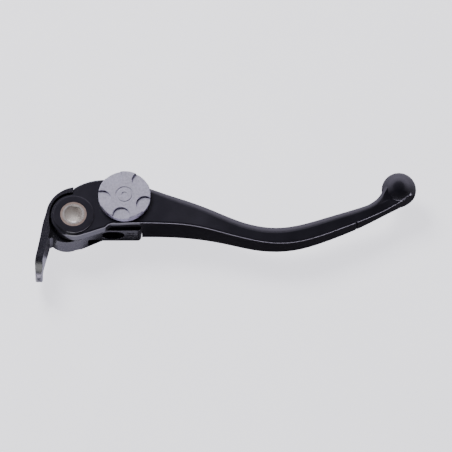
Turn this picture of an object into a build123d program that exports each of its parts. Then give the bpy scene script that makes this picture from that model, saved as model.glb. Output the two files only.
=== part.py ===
from build123d import *
import os
from math import acos, atan2, cos, hypot, pi, radians, sin

# Adjustable motorcycle hand lever: a black forged blade on a short rocker that pushes
# the master cylinder's piston. Both turn on one steel sleeve round the pivot bolt.
# Frame: origin at the middle of the pivot bore, +Z along the pivot axis towards the dial,
# +X along the blade towards its ball end, +Y away from the rider. Millimetres.

os.makedirs("parts", exist_ok=True)

# ---- driving dimensions ----
stack_half = 8.5          # half the height held between the ears of the lever bracket
pivot_bore = 4.0          # radius of the pivot bolt's hole
sleeve_radius = 5.0
bush_radius = 6.0
running_gap = 0.03        # radial clearance of a shaft in its bush
edge_round = 0.7          # rounding of the grip's two rear edges
lug_radius = 10.5         # round eye of the blade, and of the rocker below it
boss_radius = 9.3
plate_top = 7.7           # top of the blade's root, round its raised boss
plate_bottom = 2.5        # underside of the blade's eye, which lies on the rocker
rocker_top = 2.3
base = -stack_half

dial_x, dial_y = 23.2, 8.45
dial_radius = 11.9
dial_base, dial_top = 8.0, 11.5
dial_stations = 5
station_angle = 360 / dial_stations
first_scallop = 45.5      # direction of one of the dial's finger scallops, in degrees
detent_reach = 8.6        # distance of the detent ball from the dial's axis

reach_angle = 6.0         # the blade's swing on the rocker, from farthest to nearest reach
dial_angle = station_angle * (dial_stations - 1)
dial_ratio = dial_angle / reach_angle
cam_lift = dial_x / (dial_ratio - 1)      # lift in mm for each radian that the dial turns
cam_gap = 0.12
cam_top, cam_bottom = 2.2, -5.4
arm_rear, arm_front, arm_end = -5.5, 0.9, 30.5
arm_slant = 0.9           # how much the arm's end leans out, from its rear to its front
pad_front = 1.6
cam_reach = dial_y - pad_front - cam_gap  # the cam's reach at the farthest position

spring_radius, spring_wire = 8.3, 0.9
spring_low, spring_high = -0.35, 1.35     # heights of the first and last turn's wire
spring_start = 200.0                      # direction of the spring's lower leg, in degrees
spring_turns = 1.7


def around(radius, angle, centre=(0, 0)):
    """The point at this radius and angle, in degrees, from a centre in plan."""
    return (centre[0] + radius * cos(radians(angle)), centre[1] + radius * sin(radians(angle)))


def ring(outer, inner, low):
    """A plain ring round the pivot axis, drawn at this height."""
    with BuildSketch(Plane.XY.offset(low)) as section:
        Circle(outer)
        Circle(inner, mode=Mode.SUBTRACT)
    return section.sketch


def grip_section(x, rear, front, rear_half, front_half, corner, middle):
    """Draws the grip's section at x: square with a small round behind, with large rounds before."""
    with BuildSketch(Plane.YZ.offset(x)) as section:
        with BuildLine():
            lower = Spline((front - corner, middle - front_half),
                           (front, middle - front_half + corner), tangents=[(1, 0), (0, 1)])
            upper = Spline((front, middle + front_half - corner),
                           (front - corner, middle + front_half), tangents=[(0, 1), (-1, 0)])
            rear_upper = Spline((rear + edge_round, middle + rear_half),
                                (rear, middle + rear_half - edge_round), tangents=[(-1, 0), (0, -1)])
            rear_lower = Spline((rear, middle - rear_half + edge_round),
                                (rear + edge_round, middle - rear_half), tangents=[(0, -1), (1, 0)])
            Line(lower @ 1, upper @ 0)
            Line(upper @ 1, rear_upper @ 0)
            Line(rear_upper @ 1, rear_lower @ 0)
            Line(rear_lower @ 1, lower @ 0)
        make_face()
    return section.sketch


# ---- blade: eye, root plate and curved grip ----
# Stations along the grip: x, rear edge, front edge, half height at the rear, half height
# at the front corners, size of the front corners, height of the middle line.
grip_stations = [
    (14.0, -4.0, 17.9, 8.10, 8.10, 1.4, -0.40),
    (24.0, -4.0, 17.0, 8.10, 8.10, 1.8, -0.40),
    (34.0, -3.9, 14.2, 8.10, 8.10, 2.6, -0.40),
    (44.0, -4.2, 10.8, 8.00, 7.90, 3.4, -0.30),
    (54.0, -5.2, 7.5, 7.70, 7.40, 3.9, -0.10),
    (64.0, -7.2, 3.6, 6.80, 6.90, 4.2, 0.0),
    (74.0, -9.8, -0.7, 6.10, 6.50, 4.2, 0.0),
    (84.0, -12.1, -3.6, 5.70, 6.10, 4.1, 0.0),
    (94.0, -12.9, -4.3, 5.10, 5.80, 4.0, 0.0),
    (104.0, -11.6, -2.6, 4.75, 5.55, 3.9, 0.0),
    (114.0, -8.4, 0.5, 4.50, 5.35, 3.8, 0.0),
    (124.0, -4.3, 3.8, 4.30, 5.10, 3.6, 0.0),
    (134.0, 0.3, 7.4, 3.60, 4.60, 3.3, 0.0),
    (144.0, 5.7, 12.3, 3.15, 4.00, 2.9, 0.0),
    (154.5, 12.3, 16.0, 2.60, 2.60, 1.8, 0.0),
]
# The neck, which widens from the grip's front into the ball.
neck_stations = [
    (130.5, -1.0, 5.9, 3.50, 4.60, 3.4, 0.0),
    (134.5, 1.0, 7.8, 3.40, 4.50, 3.5, 0.0),
    (138.0, 2.8, 10.6, 3.30, 4.55, 4.1, 0.0),
    (140.5, 4.2, 14.2, 3.20, 4.80, 4.5, 0.0),
    (142.2, 5.2, 18.4, 3.10, 5.40, 5.2, 0.0),
    (143.5, 6.0, 20.9, 3.05, 6.10, 5.9, 0.0),
    (145.5, 7.2, 22.6, 3.00, 6.90, 6.7, 0.0),
]
ball_centre = (148.2, 15.95, 0.0)
ball_radius = 7.9
end_slope = 32.0          # direction of the rear face under the ball, in degrees
break_notch = (129.0, -2.25)      # groove where the tip snaps off in a fall
notch_slope = 24.0        # direction of the rear face at the notch, in degrees

# The eye's rear side runs straight from its circle to this corner of the plate.
plate_corner = (14.6, -6.1)
corner_distance = hypot(*plate_corner)
tangent_angle = atan2(plate_corner[1], plate_corner[0]) - acos(lug_radius / corner_distance)
eye_tangent = (lug_radius * cos(tangent_angle), lug_radius * sin(tangent_angle))
shoulder_x = -0.1          # where the root meets the crescent's end, its stop
shoulder_lean = 0.3        # how far that face leans either way from shoulder_x
pocket_end = 30.9
detent_place = (dial_x + detent_reach, dial_y)
spring_end = spring_start + 360 * spring_turns

with BuildPart() as root_plate:
    with BuildSketch(Plane.XY.offset(plate_bottom)):
        Circle(lug_radius)
        with BuildLine():
            shoulder = ThreePointArc((shoulder_x + shoulder_lean, 13.5), (5.0, 16.1), (13.0, 17.8))
            bend = ThreePointArc((19.0, -4.1), (16.2, -4.7), plate_corner)
            Polyline(bend @ 1, eye_tangent, (0, -lug_radius / 2),
                     (shoulder_x - shoulder_lean, lug_radius - 0.6), shoulder @ 0)
            Polyline(shoulder @ 1, (15.5, 17.7), (19.0, 8.0), bend @ 0)
        make_face()
    extrude(amount=plate_top - plate_bottom)
    top_rim = root_plate.faces().sort_by(Axis.Z)[-1].outer_wire().edges()
    fillet(top_rim.filter_by(
        lambda edge: 1.0 < edge.center().X < 14.5 or edge.center().Y < 0), radius=0.8)

# The ball is cut flat where the grip's rear face runs on under it.
with BuildPart() as ball:
    with Locations(ball_centre):
        Sphere(ball_radius)
    split(bisect_by=Plane(origin=(148.4, 8.4, 0), z_dir=(*around(1, end_slope + 90), 0)), keep=Keep.TOP)

with BuildPart() as neck:
    loft([grip_section(*station) for station in neck_stations])

with BuildPart() as lever_blade:
    loft([grip_section(*station) for station in grip_stations])
    # The pocket under the root: the rocker's arm and the cam work in it.
    with BuildSketch(Plane.XY.offset(base - 1)):
        with BuildLine():
            Polyline((0, -15), (pocket_end, -15), (pocket_end, arm_rear),
                     (pocket_end + arm_slant, arm_front), (pocket_end + arm_slant, 7.0),
                     (30.0, 12.6), (28.0, 14.4),
                     (23.5, 15.6), (18.0, 15.8), (0, 15.8), close=True)
        make_face()
    extrude(amount=plate_bottom - base + 1, mode=Mode.SUBTRACT)
    add(root_plate.part)
    with BuildSketch(Plane.XY.offset(plate_top - 0.5)):
        Circle(boss_radius)
    extrude(amount=stack_half - plate_top + 0.5)
    chamfer(lever_blade.faces().filter_by(Plane.XY).sort_by(Axis.Z)[-1].edges(), length=0.25)
    add(ball.part)
    add(neck.part)
    # Holes: the eye's bush, the dial's bush, the detent and the spring's upper leg.
    with BuildSketch(Plane.XY.offset(plate_bottom - 1)):
        Circle(bush_radius)
        with Locations((dial_x, dial_y)):
            Circle(5.0)
    extrude(amount=12, mode=Mode.SUBTRACT)
    with BuildSketch(Plane.XY.offset(3.2)):
        with Locations(detent_place):
            Circle(1.55)
    extrude(amount=6, mode=Mode.SUBTRACT)
    with BuildSketch(Plane.XY.offset(plate_bottom - 1)):
        with Locations(around(spring_radius, spring_end + reach_angle / 2)):
            Circle(1.1)
    extrude(amount=3.6, mode=Mode.SUBTRACT)
    with BuildSketch(Plane.XY.offset(base)):
        with Locations(break_notch):
            RegularPolygon(radius=0.7, side_count=4, rotation=notch_slope)
    extrude(amount=2 * stack_half, mode=Mode.SUBTRACT)
lever_blade.part.label = "lever_blade"
export_step(lever_blade.part, "parts/lever_blade.step")

# ---- rocker: hub, crescent, tongue for the piston, and the arm that the cam pushes ----
rib_inner = 10.95         # the crescent's inner side, close round the eye
rib_start, rib_middle = 92.6, 140.0
tongue_round = -20.9      # centre of the tongue's full-round end, in Y
tongue_tip = tongue_round - stack_half
window_centre = (18.0, -2.9)
window_size = (10.4, 7.6)

with BuildPart() as tongue:
    with BuildSketch(Plane.XY.offset(base)):
        with BuildLine():
            crescent = ThreePointArc((-0.05, 13.55), (-7.9, 9.7), (-12.3, 1.5))
            outer_side = Spline(crescent @ 1, (-13.4, -2.6), (-15.2, -11.9), (-17.0, -20.8),
                                (-17.4, -24.0), tangents=[crescent % 1, (-0.02, -1)])
            nose = Spline(outer_side @ 1, (-15.5, tongue_tip), (-13.9, -24.0),
                          tangents=[(0, -1), (-0.05, 1)])
            inner_side = Spline(nose @ 1, (-13.1, -18.3), (-11.3, -11.4), (-10.7, -7.5),
                                tangents=[(-0.05, 1), (0.05, 1)])
            inner_rib = ThreePointArc((-rib_inner, 0), around(rib_inner, rib_middle),
                                      around(rib_inner, rib_start))
            Polyline(inner_side @ 1, (-11.2, -3.5), inner_rib @ 0)
            Line(inner_rib @ 1, crescent @ 0)
        make_face()
    extrude(amount=2 * stack_half)
    # The far end of the tongue is full-round, seen from the side.
    with BuildSketch(Plane.YZ.offset(-30)):
        with Locations((tongue_round, 0)):
            Circle(stack_half)
        with Locations((tongue_round, -stack_half)):
            Rectangle(60, 2 * stack_half, align=(Align.MIN, Align.MIN))
    extrude(amount=60, mode=Mode.INTERSECT)

with BuildPart() as rocker:
    with BuildSketch(Plane.XY.offset(base)):
        Circle(lug_radius)
    extrude(amount=rocker_top - base)
    chamfer(rocker.edges().group_by(Axis.Z)[-1], length=0.7)
    chamfer(rocker.edges().group_by(Axis.Z)[0], length=0.4)
    # Web to the tongue and the crescent's foot, both below the eye.
    with BuildSketch(Plane.XY.offset(base)):
        with BuildLine():
            heel = ThreePointArc((0.7, -10.47), (-4.7, -11.1), (-9.5, -8.8))
            Polyline(heel @ 1, (-11.4, -9.6), (-12.0, -2.0), (0, 0), heel @ 0)
        make_face()
        with BuildLine():
            foot = ThreePointArc((-1.2, 12.6), (-7.6, 9.2), (-11.9, 1.5))
            Polyline(foot @ 1, (0, 0), foot @ 0)
        make_face()
    extrude(amount=rocker_top - base - 0.3)
    add(tongue.part)
    # Arm with its sloping rear face.
    with BuildSketch(Plane.XY.offset(base)):
        with BuildLine():
            Polyline(eye_tangent, (13.2, arm_rear), (arm_end, arm_rear),
                     (arm_end + arm_slant, arm_front),
                     (12.5, arm_front), (9.0, 5.0), (0, 0), close=True)
        make_face()
        fillet(vertices().sort_by(Axis.X)[-2:], radius=1.6)
    extrude(amount=rocker_top - base)
    with BuildSketch(Plane.XZ.offset(-arm_rear)):
        with Locations(window_centre):
            SlotOverall(window_size[0], window_size[1])
    extrude(amount=-3.8, mode=Mode.SUBTRACT)
    # Seat for the wear pad.
    with BuildSketch(Plane.XZ.offset(-arm_front)):
        with Locations((dial_x, -1.6)):
            Rectangle(7.0, 7.0)
    extrude(amount=2.0, mode=Mode.SUBTRACT)
    # Three raised bars near the arm's end.
    with BuildSketch(Plane.XZ.offset(-arm_rear)):
        with Locations([(25.9, z) for z in (-1.0, -2.9, -4.8)]):
            Rectangle(3.2, 0.6)
    extrude(amount=0.25)
    # Bush bore, its flange's seat, the spring's groove and the lower leg's hole.
    with BuildSketch(Plane.XY.offset(base - 1)):
        Circle(bush_radius)
    extrude(amount=30, mode=Mode.SUBTRACT)
    with BuildSketch(Plane.XY.offset(1.65)):
        Circle(6.6)
    extrude(amount=2, mode=Mode.SUBTRACT)
    with BuildSketch(Plane.XY.offset(-0.9)):
        Circle(9.1)
        Circle(7.5, mode=Mode.SUBTRACT)
    extrude(amount=4, mode=Mode.SUBTRACT)
    with BuildSketch(Plane.XY.offset(-3.2)):
        with Locations(around(spring_radius, spring_start)):
            Circle(spring_wire / 2 + 0.05)
    extrude(amount=3, mode=Mode.SUBTRACT)
    # Lightening pocket in the sloping face, beside the hub.
    with BuildSketch(Plane.XZ.offset(12)):
        with BuildLine():
            Polyline((6.6, -1.4), (12.3, -6.4), (12.3, -7.5), (6.6, -7.5), close=True)
        make_face()
        fillet(vertices(), radius=0.45)
    extrude(amount=-7.4, mode=Mode.SUBTRACT)
rocker.part.label = "rocker"
export_step(rocker.part, "parts/rocker.step")

with BuildPart() as wear_pad:
    with BuildSketch(Plane.XZ.offset(-arm_front + 2.0)):
        with Locations((dial_x, -1.6)):
            Rectangle(7.0, 7.0)
    extrude(amount=-(pad_front - arm_front + 2.0))
wear_pad.part.label = "wear_pad"
export_step(wear_pad.part, "parts/wear_pad.step")

# ---- pivot: sleeve, bushes and the spring that holds the arm against the cam ----
with BuildPart() as pivot_sleeve:
    extrude(ring(sleeve_radius, pivot_bore, base), amount=2 * stack_half)
    chamfer(pivot_sleeve.edges().filter_by(GeomType.CIRCLE).filter_by(
        lambda edge: edge.radius < pivot_bore + 0.1), length=0.35)
pivot_sleeve.part.label = "pivot_sleeve"
export_step(pivot_sleeve.part, "parts/pivot_sleeve.step")

with BuildPart() as eye_bush:
    extrude(ring(bush_radius, sleeve_radius + running_gap, plate_bottom),
            amount=stack_half - plate_bottom)
eye_bush.part.label = "eye_bush"
export_step(eye_bush.part, "parts/eye_bush.step")

with BuildPart() as hub_bush:
    extrude(ring(bush_radius, sleeve_radius + running_gap, base), amount=2.45 - base)
    extrude(ring(6.6, sleeve_radius + running_gap, 1.65), amount=0.8)
hub_bush.part.label = "hub_bush"
export_step(hub_bush.part, "parts/hub_bush.step")

lower_leg = around(spring_radius, spring_start)
upper_leg = around(spring_radius, spring_end)
with BuildPart() as return_spring:
    with BuildLine(Plane(origin=(0, 0, spring_low), x_dir=(*around(1, spring_start), 0))) as coil:
        Helix(pitch=(spring_high - spring_low) / spring_turns, height=spring_high - spring_low,
              radius=spring_radius)
    with BuildSketch(Plane(origin=coil.line @ 0, z_dir=coil.line % 0)):
        Circle(spring_wire / 2)
    sweep(path=coil.line)
    with BuildSketch(Plane.XY.offset(-3.1)):
        with Locations(lower_leg):
            Circle(spring_wire / 2)
    extrude(amount=spring_low + 3.1)
    with BuildSketch(Plane.XY.offset(spring_high)):
        with Locations(upper_leg):
            Circle(spring_wire / 2)
    extrude(amount=3.2)
    with Locations((*lower_leg, spring_low), (*upper_leg, spring_high)):
        Sphere(spring_wire / 2)
return_spring.part.label = "return_spring"
export_step(return_spring.part, "parts/return_spring.step")

# ---- reach dial, its spiral cam, screw, seal and detent ----
stem_radius = 4.0
drive_width = 5.2
with BuildPart() as reach_dial:
    with BuildSketch(Plane.XY.offset(dial_base)):
        with Locations((dial_x, dial_y)):
            Circle(dial_radius)
    extrude(amount=dial_top - dial_base)
    chamfer(reach_dial.edges().group_by(Axis.Z)[-1], length=0.35)
    # Finger scallops, open to the rim, and a plain ring round the middle.
    with BuildSketch(Plane.XY.offset(dial_top - 1.1)):
        with Locations([around(10.3, first_scallop + station_angle * turn, (dial_x, dial_y))
                        for turn in range(dial_stations)]):
            Circle(3.9)
    extrude(amount=2, mode=Mode.SUBTRACT)
    with BuildSketch(Plane.XY.offset(dial_top - 0.3)):
        with Locations((dial_x, dial_y)):
            Circle(4.0)
            Circle(3.3, mode=Mode.SUBTRACT)
            Circle(1.3)
    extrude(amount=1, mode=Mode.SUBTRACT)
    # Underside: groove for the seal, and one dimple for each position.
    with BuildSketch(Plane.XY.offset(dial_base)):
        with Locations((dial_x, dial_y)):
            Circle(7.15)
            Circle(5.45, mode=Mode.SUBTRACT)
    extrude(amount=1.2, mode=Mode.SUBTRACT)
    with Locations([(*around(detent_reach, station_angle * turn, (dial_x, dial_y)), dial_base - 1.0)
                    for turn in range(dial_stations)]):
        Sphere(1.35, mode=Mode.SUBTRACT)
    # Stem through the blade, square drive for the cam, thread for the screw.
    with BuildSketch(Plane.XY.offset(cam_top)):
        with Locations((dial_x, dial_y)):
            Circle(stem_radius)
    extrude(amount=dial_base - cam_top + 0.5)
    with BuildSketch(Plane.XY.offset(cam_bottom + 0.4)):
        with Locations((dial_x, dial_y)):
            RectangleRounded(drive_width, drive_width, 0.6)
    extrude(amount=cam_top - cam_bottom)
    with BuildSketch(Plane.XY.offset(cam_bottom)):
        with Locations((dial_x, dial_y)):
            Circle(2.0)
    extrude(amount=9.4, mode=Mode.SUBTRACT)
reach_dial.part.label = "reach_dial"
export_step(reach_dial.part, "parts/reach_dial.step")


def cam_point(angle):
    """A point of the cam, whose distance to a flat face grows evenly with the angle."""
    reach = cam_reach + cam_lift * angle
    facing = angle - pi / 2
    return (dial_x + reach * cos(facing) - cam_lift * sin(facing),
            dial_y + reach * sin(facing) + cam_lift * cos(facing))


cam_first, cam_last = radians(-dial_angle - 12), radians(12)
cam_steps = 12
with BuildPart() as reach_cam:
    with BuildSketch(Plane.XY.offset(cam_bottom)):
        with BuildLine():
            spiral = Spline([cam_point(cam_first + (cam_last - cam_first) * step / cam_steps)
                             for step in range(cam_steps + 1)])
            Line(spiral @ 1, spiral @ 0)
        make_face()
        with Locations((dial_x, dial_y)):
            RectangleRounded(drive_width + 0.1, drive_width + 0.1, 0.6, mode=Mode.SUBTRACT)
    extrude(amount=cam_top - cam_bottom)
reach_cam.part.label = "reach_cam"
export_step(reach_cam.part, "parts/reach_cam.step")

with BuildPart() as cam_washer:
    with BuildSketch(Plane.XY.offset(cam_bottom - 0.6)):
        with Locations((dial_x, dial_y)):
            Circle(4.3)
            Circle(2.15, mode=Mode.SUBTRACT)
    extrude(amount=0.6)
cam_washer.part.label = "cam_washer"
export_step(cam_washer.part, "parts/cam_washer.step")

with BuildPart() as cam_screw:
    with BuildSketch(Plane.XY.offset(cam_bottom - 2.6)):
        with Locations((dial_x, dial_y)):
            Circle(3.5)
    extrude(amount=2.0)
    fillet(cam_screw.edges().group_by(Axis.Z)[0], radius=0.6)
    with BuildSketch(Plane.XY.offset(cam_bottom - 0.6)):
        with Locations((dial_x, dial_y)):
            Circle(1.97)
    extrude(amount=9.2)
    with BuildSketch(Plane.XY.offset(cam_bottom - 2.6)):
        with Locations((dial_x, dial_y)):
            RegularPolygon(radius=1.25, side_count=6, major_radius=False)
    extrude(amount=1.3, mode=Mode.SUBTRACT)
cam_screw.part.label = "cam_screw"
export_step(cam_screw.part, "parts/cam_screw.step")

with BuildPart() as stem_bush:
    with BuildSketch(Plane.XY.offset(plate_bottom)):
        with Locations((dial_x, dial_y)):
            Circle(5.0)
            Circle(stem_radius + running_gap, mode=Mode.SUBTRACT)
    extrude(amount=plate_top - plate_bottom - 0.1)
stem_bush.part.label = "stem_bush"
export_step(stem_bush.part, "parts/stem_bush.step")

with BuildPart() as dial_seal:
    with Locations((dial_x, dial_y, plate_top + 0.8)):
        Torus(major_radius=6.3, minor_radius=0.7)
dial_seal.part.label = "dial_seal"
export_step(dial_seal.part, "parts/dial_seal.step")

ball_size = 1.5
with BuildPart() as detent_ball:
    with Locations((*detent_place, dial_base - 0.05 - ball_size)):
        Sphere(ball_size)
detent_ball.part.label = "detent_ball"
export_step(detent_ball.part, "parts/detent_ball.step")

detent_wire = 0.35
with BuildPart() as detent_spring:
    with BuildLine(Plane(origin=(*detent_place, 3.2 + detent_wire / 2))) as coil:
        Helix(pitch=0.45, height=1.35, radius=1.1)
    with BuildSketch(Plane(origin=coil.line @ 0, z_dir=coil.line % 0)):
        Circle(detent_wire / 2)
    sweep(path=coil.line)
detent_spring.part.label = "detent_spring"
export_step(detent_spring.part, "parts/detent_spring.step")
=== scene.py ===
import math

import bpy
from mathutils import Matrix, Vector


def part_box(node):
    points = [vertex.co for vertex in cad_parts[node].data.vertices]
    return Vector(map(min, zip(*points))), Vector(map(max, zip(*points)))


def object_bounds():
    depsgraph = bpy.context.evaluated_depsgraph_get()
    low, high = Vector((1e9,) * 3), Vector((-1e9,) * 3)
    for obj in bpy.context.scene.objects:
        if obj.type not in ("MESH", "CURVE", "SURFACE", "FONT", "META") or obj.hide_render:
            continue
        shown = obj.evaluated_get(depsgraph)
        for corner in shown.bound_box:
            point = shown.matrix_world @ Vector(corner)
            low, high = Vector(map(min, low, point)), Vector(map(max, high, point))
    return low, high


# Looks of an adjustable motorcycle hand lever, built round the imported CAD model.
# Metres, in the CAD's own frame: +Z along the pivot, +X to the ball end, +Y forward.

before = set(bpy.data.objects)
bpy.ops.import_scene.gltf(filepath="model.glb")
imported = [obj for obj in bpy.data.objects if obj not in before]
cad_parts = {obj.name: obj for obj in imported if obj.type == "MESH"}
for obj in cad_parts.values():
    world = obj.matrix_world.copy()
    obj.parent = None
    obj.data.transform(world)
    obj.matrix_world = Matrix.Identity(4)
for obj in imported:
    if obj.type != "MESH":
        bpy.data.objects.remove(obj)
cad_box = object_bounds()
MM = 0.001
RING_SCALE = 0.314        # the wave texture's scale that gives one ring in each unit


# ---- materials ----
class Finish:
    """A procedural metal, paint or plastic finish, built up by a few calls."""

    def __init__(self, name, metallic, roughness, coat=0.0, coat_roughness=0.1, specular=0.5):
        self.material = bpy.data.materials.new(name)
        self.material.use_nodes = True
        self.nodes = self.material.node_tree.nodes
        self.links = self.material.node_tree.links
        self.shader = self.nodes["Principled BSDF"]
        self.shader.inputs["Metallic"].default_value = metallic
        self.shader.inputs["Roughness"].default_value = roughness
        self.shader.inputs["Coat Weight"].default_value = coat
        self.shader.inputs["Coat Roughness"].default_value = coat_roughness
        self.shader.inputs["Specular IOR Level"].default_value = specular
        self.place = self.nodes.new("ShaderNodeTexCoord").outputs["Object"]

    def stretch(self, scale):
        """Coordinates in millimetres, stretched by the given factors."""
        mapping = self.nodes.new("ShaderNodeMapping")
        mapping.inputs["Scale"].default_value = [factor / MM for factor in scale]
        self.links.new(self.place, mapping.inputs["Vector"])
        return mapping.outputs["Vector"]

    def noise(self, size, detail=3.0, stretch=(1, 1, 1)):
        """Noise with grains of about this size in millimetres."""
        texture = self.nodes.new("ShaderNodeTexNoise")
        texture.inputs["Scale"].default_value = 1.0 / size
        texture.inputs["Detail"].default_value = detail
        self.links.new(self.stretch(stretch), texture.inputs["Vector"])
        return texture.outputs["Fac"]

    def turned(self, centre, pitch):
        """Fine rings round a vertical axis, as a lathe leaves them, at a pitch in millimetres."""
        shift = self.nodes.new("ShaderNodeMapping")
        shift.inputs["Location"].default_value = (-centre[0] / MM, -centre[1] / MM, 0)
        shift.inputs["Scale"].default_value = (1 / MM, 1 / MM, 0)
        self.links.new(self.place, shift.inputs["Vector"])
        wave = self.nodes.new("ShaderNodeTexWave")
        wave.wave_type = "RINGS"
        wave.rings_direction = "SPHERICAL"
        wave.inputs["Scale"].default_value = RING_SCALE / pitch
        wave.inputs["Distortion"].default_value = 1.2
        wave.inputs["Detail"].default_value = 2.0
        self.links.new(shift.outputs["Vector"], wave.inputs["Vector"])
        return wave.outputs["Fac"]

    def colour(self, factor, dark, light, low=0.3, high=0.7):
        """Colour between dark and light, as the factor goes from low to high."""
        ramp = self.nodes.new("ShaderNodeValToRGB")
        ramp.color_ramp.elements[0].position = low
        ramp.color_ramp.elements[0].color = (*dark, 1)
        ramp.color_ramp.elements[1].position = high
        ramp.color_ramp.elements[1].color = (*light, 1)
        self.links.new(factor, ramp.inputs["Fac"])
        self.links.new(ramp.outputs["Color"], self.shader.inputs["Base Color"])

    def rough(self, factor, low, high):
        """Roughness between low and high, by a factor from 0 to 1."""
        spread = self.nodes.new("ShaderNodeMapRange")
        spread.inputs["To Min"].default_value = low
        spread.inputs["To Max"].default_value = high
        self.links.new(factor, spread.inputs["Value"])
        self.links.new(spread.outputs["Result"], self.shader.inputs["Roughness"])

    def relief(self, factor, depth, strength=1.0, edge=0.0):
        """Bumps of this depth in millimetres, over edges rounded by this radius."""
        bump = self.nodes.new("ShaderNodeBump")
        bump.inputs["Strength"].default_value = strength
        bump.inputs["Distance"].default_value = depth * MM
        self.links.new(factor, bump.inputs["Height"])
        if edge:
            bevel = self.nodes.new("ShaderNodeBevel")
            bevel.samples = 6
            bevel.inputs["Radius"].default_value = edge * MM
            self.links.new(bevel.outputs["Normal"], bump.inputs["Normal"])
        self.links.new(bump.outputs["Normal"], self.shader.inputs["Normal"])
        self.links.new(bump.outputs["Normal"], self.shader.inputs["Coat Normal"])


def black_gloss():
    """Black gloss coat on the forged blade, with a faint orange peel."""
    finish = Finish("black_gloss", metallic=0.0, roughness=0.4, coat=1.0, coat_roughness=0.07,
                    specular=0.1)
    finish.colour(finish.noise(7.0), (0.013, 0.0123, 0.018), (0.019, 0.018, 0.026))
    finish.rough(finish.noise(1.6, 4.0), 0.34, 0.46)
    finish.relief(finish.noise(0.55, 2.0), 0.012, 0.35, edge=0.35)
    return finish.material


def black_satin():
    """Satin black anodising over a fine blasted grain."""
    finish = Finish("black_satin", metallic=0.0, roughness=0.3, specular=0.6)
    finish.colour(finish.noise(4.0), (0.013, 0.0125, 0.018), (0.021, 0.020, 0.028))
    finish.rough(finish.noise(0.8, 4.0), 0.22, 0.34)
    finish.relief(finish.noise(0.22, 3.0), 0.03, 0.5, edge=0.3)
    return finish.material


def blasted_silver():
    """Blasted and anodised aluminium of the dial."""
    finish = Finish("blasted_silver", metallic=0.15, roughness=0.5)
    finish.colour(finish.noise(0.9, 5.0), (0.50, 0.48, 0.60), (0.68, 0.66, 0.79))
    finish.rough(finish.noise(0.35, 3.0), 0.42, 0.58)
    finish.relief(finish.noise(0.18, 3.0), 0.04, 0.6, edge=0.2)
    return finish.material


def turned_metal(name, dark, light, low, high, pitch, centre=(0, 0), metallic=1.0):
    """Metal with the fine rings of a lathe."""
    finish = Finish(name, metallic=metallic, roughness=0.3)
    finish.colour(finish.noise(1.1, 4.0), dark, light)
    finish.rough(finish.noise(0.5, 4.0), low, high)
    finish.relief(finish.turned(centre, pitch), 0.008, 0.5, edge=0.12)
    return finish.material


def drawn_wire():
    """Dull spring wire with long faint drawing marks."""
    finish = Finish("drawn_wire", metallic=1.0, roughness=0.35)
    finish.colour(finish.noise(0.6, 4.0), (0.17, 0.17, 0.18), (0.32, 0.32, 0.33))
    finish.rough(finish.noise(0.3, 4.0, (1, 1, 4)), 0.28, 0.45)
    finish.relief(finish.noise(0.15, 3.0, (1, 1, 6)), 0.006, 0.5)
    return finish.material


def acetal():
    """Natural moulded acetal."""
    finish = Finish("acetal", metallic=0.0, roughness=0.4)
    finish.colour(finish.noise(2.0), (0.62, 0.58, 0.47), (0.74, 0.70, 0.60))
    finish.rough(finish.noise(0.6, 3.0), 0.34, 0.46)
    finish.relief(finish.noise(0.3, 3.0), 0.01, 0.4)
    return finish.material


def nitrile():
    """Moulded black rubber."""
    finish = Finish("nitrile", metallic=0.0, roughness=0.6)
    finish.colour(finish.noise(1.0, 4.0), (0.010, 0.010, 0.010), (0.022, 0.022, 0.022))
    finish.rough(finish.noise(0.4, 4.0), 0.5, 0.7)
    finish.relief(finish.noise(0.2, 4.0), 0.01, 0.5)
    return finish.material


dial_low, dial_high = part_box("reach_dial")
dial_centre = (dial_low + dial_high) / 2
finishes = {
    "lever_blade": black_gloss(),
    "rocker": black_satin(),
    "wear_pad": turned_metal("ground_steel", (0.30, 0.30, 0.31), (0.42, 0.42, 0.44), 0.2, 0.36, 0.3),
    "pivot_sleeve": turned_metal("polished_steel", (0.48, 0.44, 0.42), (0.62, 0.58, 0.56), 0.2,
                                 0.34, 0.12, metallic=0.35),
    "eye_bush": turned_metal("sintered_bronze", (0.33, 0.24, 0.20), (0.46, 0.36, 0.31), 0.3, 0.5,
                             0.15, metallic=0.3),
    "return_spring": drawn_wire(),
    "reach_dial": blasted_silver(),
    "cam_washer": turned_metal("zinc_plate", (0.50, 0.51, 0.54), (0.66, 0.67, 0.70), 0.2, 0.38, 0.2,
                               dial_centre),
    "stem_bush": acetal(),
    "dial_seal": nitrile(),
}
same_finish = {"hub_bush": "eye_bush", "reach_cam": "wear_pad", "cam_screw": "cam_washer",
               "detent_ball": "pivot_sleeve", "detent_spring": "return_spring"}
for node, other in same_finish.items():
    finishes[node] = finishes[other]
for node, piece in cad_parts.items():
    piece.data.materials.clear()
    piece.data.materials.append(finishes[node])

# ---- floor, light and camera ----
floor_gap = 6 * MM              # between the lever's lowest point and the floor
floor_height = cad_box[0].z - floor_gap
floor_reach = 3.0
floor_glow = 1.7
floor_tint = (0.93, 0.92, 1.0)
card_glow = 1.1
card_tint = (0.80, 0.77, 1.0)


def glow(name, strength, tint):
    """Pale paper that also shines, with a tinted light."""
    paper = Finish(name, metallic=0.0, roughness=0.9, specular=0.1)
    paper.colour(paper.noise(40.0, 2.0), (0.55, 0.55, 0.56), (0.60, 0.60, 0.61))
    paper.shader.inputs["Emission Color"].default_value = (*tint, 1)
    paper.shader.inputs["Emission Strength"].default_value = strength
    return paper.material


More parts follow.
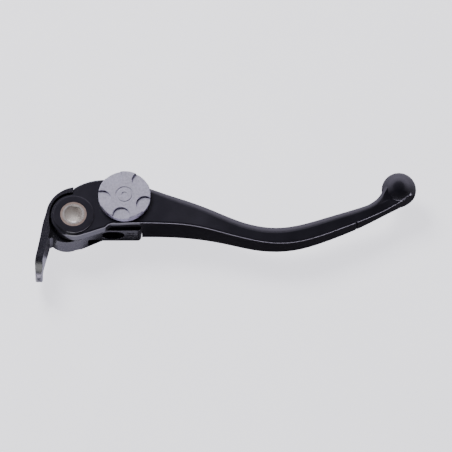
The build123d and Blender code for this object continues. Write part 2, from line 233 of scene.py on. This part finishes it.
def sheet(name, left, right, rear, front, height, material):
    """A level rectangle that belongs to the studio. Its sides are given in X and in Y."""
    mesh = bpy.data.meshes.new(name)
    mesh.from_pydata([(left, rear, height), (right, rear, height), (right, front, height),
                      (left, front, height)], [], [(0, 1, 2, 3)])
    mesh.materials.append(material)
    piece = bpy.data.objects.new(name, mesh)
    bpy.context.scene.collection.objects.link(piece)
    piece.visible_diffuse = False
    return piece


# Only the camera sees the glowing floor, so that it doesn't flood the black coat.
floor = sheet("floor", -floor_reach, floor_reach, -floor_reach, floor_reach, floor_height,
              glow("paper", floor_glow, floor_tint))
floor.visible_glossy = False
floor.visible_shadow = False
# Only reflections see the card just under the floor, which lights the rocker's side.
card = sheet("rocker_card", -24 * MM, 30 * MM, -40 * MM, -12 * MM, floor_height - 0.1 * MM,
             glow("rocker_card_paper", card_glow, card_tint))
card.visible_camera = False


world_tint = (0.92, 0.89, 1.0)
world_strength = 2.0


def studio_world():
    """A dim room that only reflections see, lit low behind the lever and low before it."""
    world = bpy.data.worlds.new("studio")
    bpy.context.scene.world = world
    world.use_nodes = True
    nodes, links = world.node_tree.nodes, world.node_tree.links
    direction = nodes.new("ShaderNodeTexCoord").outputs["Generated"]
    parts = nodes.new("ShaderNodeSeparateXYZ")
    links.new(direction, parts.inputs[0])

    def level(axis, stops):
        """A tinted brightness that follows one coordinate of the direction, from -1 to 1."""
        spread = nodes.new("ShaderNodeMapRange")
        spread.inputs["From Min"].default_value = -1.0
        ramp = nodes.new("ShaderNodeValToRGB")
        while len(ramp.color_ramp.elements) < len(stops):
            ramp.color_ramp.elements.new(0.5)
        for element, (position, brightness) in zip(ramp.color_ramp.elements, stops):
            element.position = (position + 1) / 2
            element.color = (*(share * brightness for share in world_tint), 1)
        links.new(parts.outputs[axis], spread.inputs["Value"])
        links.new(spread.outputs["Result"], ramp.inputs["Fac"])
        return ramp.outputs["Color"]

    def mixed(how, first, second):
        """Two colours added or multiplied."""
        mix = nodes.new("ShaderNodeMix")
        mix.data_type = "RGBA"
        mix.blend_type = how
        mix.inputs["Factor"].default_value = 1.0
        links.new(first, mix.inputs["A"])
        links.new(second, mix.inputs["B"])
        return mix.outputs["Result"]

    # Behind the lever: it gives the soft light on the blade's front edge.
    behind = mixed("MULTIPLY", level("Y", [(-0.45, 0.04), (0, 0.4), (0.5, 0.9), (1, 1.0)]),
                   level("Z", [(-1, 0.08), (-0.75, 0.1), (-0.4, 0.35), (0.0, 0.6), (0.35, 1.0),
                               (0.68, 0.9), (0.85, 0.2), (1, 0.1)]))
    # Before the lever: it draws the bright line along the blade's rear edge.
    before = mixed("MULTIPLY", level("Y", [(-0.3, 5.0), (-0.15, 0.0)]),
                   level("Z", [(-0.6, 0.0), (-0.5, 1.0), (-0.12, 1.0), (-0.04, 0.0)]))
    links.new(mixed("ADD", behind, before), nodes["Background"].inputs["Color"])
    world.cycles_visibility.diffuse = False
    nodes["Background"].inputs["Strength"].default_value = world_strength


studio_world()


def softbox(name, place, target, size, power, shines=True):
    """A rectangular soft light that points at the target, with or without a reflection."""
    lamp = bpy.data.lights.new(name, "AREA")
    lamp.shape = "RECTANGLE"
    lamp.size, lamp.size_y = size
    lamp.energy = power
    light = bpy.data.objects.new(name, lamp)
    bpy.context.scene.collection.objects.link(light)
    light.location = place
    light.rotation_euler = (Vector(target) - Vector(place)).to_track_quat("-Z", "Y").to_euler()
    light.visible_camera = False
    light.visible_glossy = shines
    return light


# Where the camera and the main light point.
aim = Vector((0.0694, -0.006, 0.0085))
overhead_offset = Vector((-0.35, 0.45, 0.75))
softbox("overhead", aim + overhead_offset, aim, (0.4, 0.4), 8.5, shines=False)
# A small light for the tongue's tip, turned away from the ball.
tip_place = Vector((-0.015, -0.08, 0.042))
tip_direction = Vector((-1, 0.3, -0.5))
tip_light = softbox("tip_light", tip_place, tip_place + tip_direction, (0.06, 0.13), 0.12)
tip_light.visible_diffuse = False
# A weak light under the open bore.
bore_rear = -0.004
softbox("under_bore", Vector((0, bore_rear, floor_height + MM)), Vector((0, bore_rear, 0)),
        (0.014, 0.014), 0.005, shines=False)

# A long lens, because the view is nearly parallel.
tilt = math.radians(65)
view_width = 0.2055             # width of the picture at the aim
camera_data = bpy.data.cameras.new("camera")
camera_data.lens = 1000
camera_data.sensor_width = 36
camera_distance = view_width * camera_data.lens / camera_data.sensor_width
camera = bpy.data.objects.new("camera", camera_data)
bpy.context.scene.collection.objects.link(camera)
camera.location = aim + Vector((0, -math.cos(tilt), math.sin(tilt))) * camera_distance
camera.rotation_euler = (math.radians(90) - tilt, 0, 0)
bpy.context.scene.camera = camera
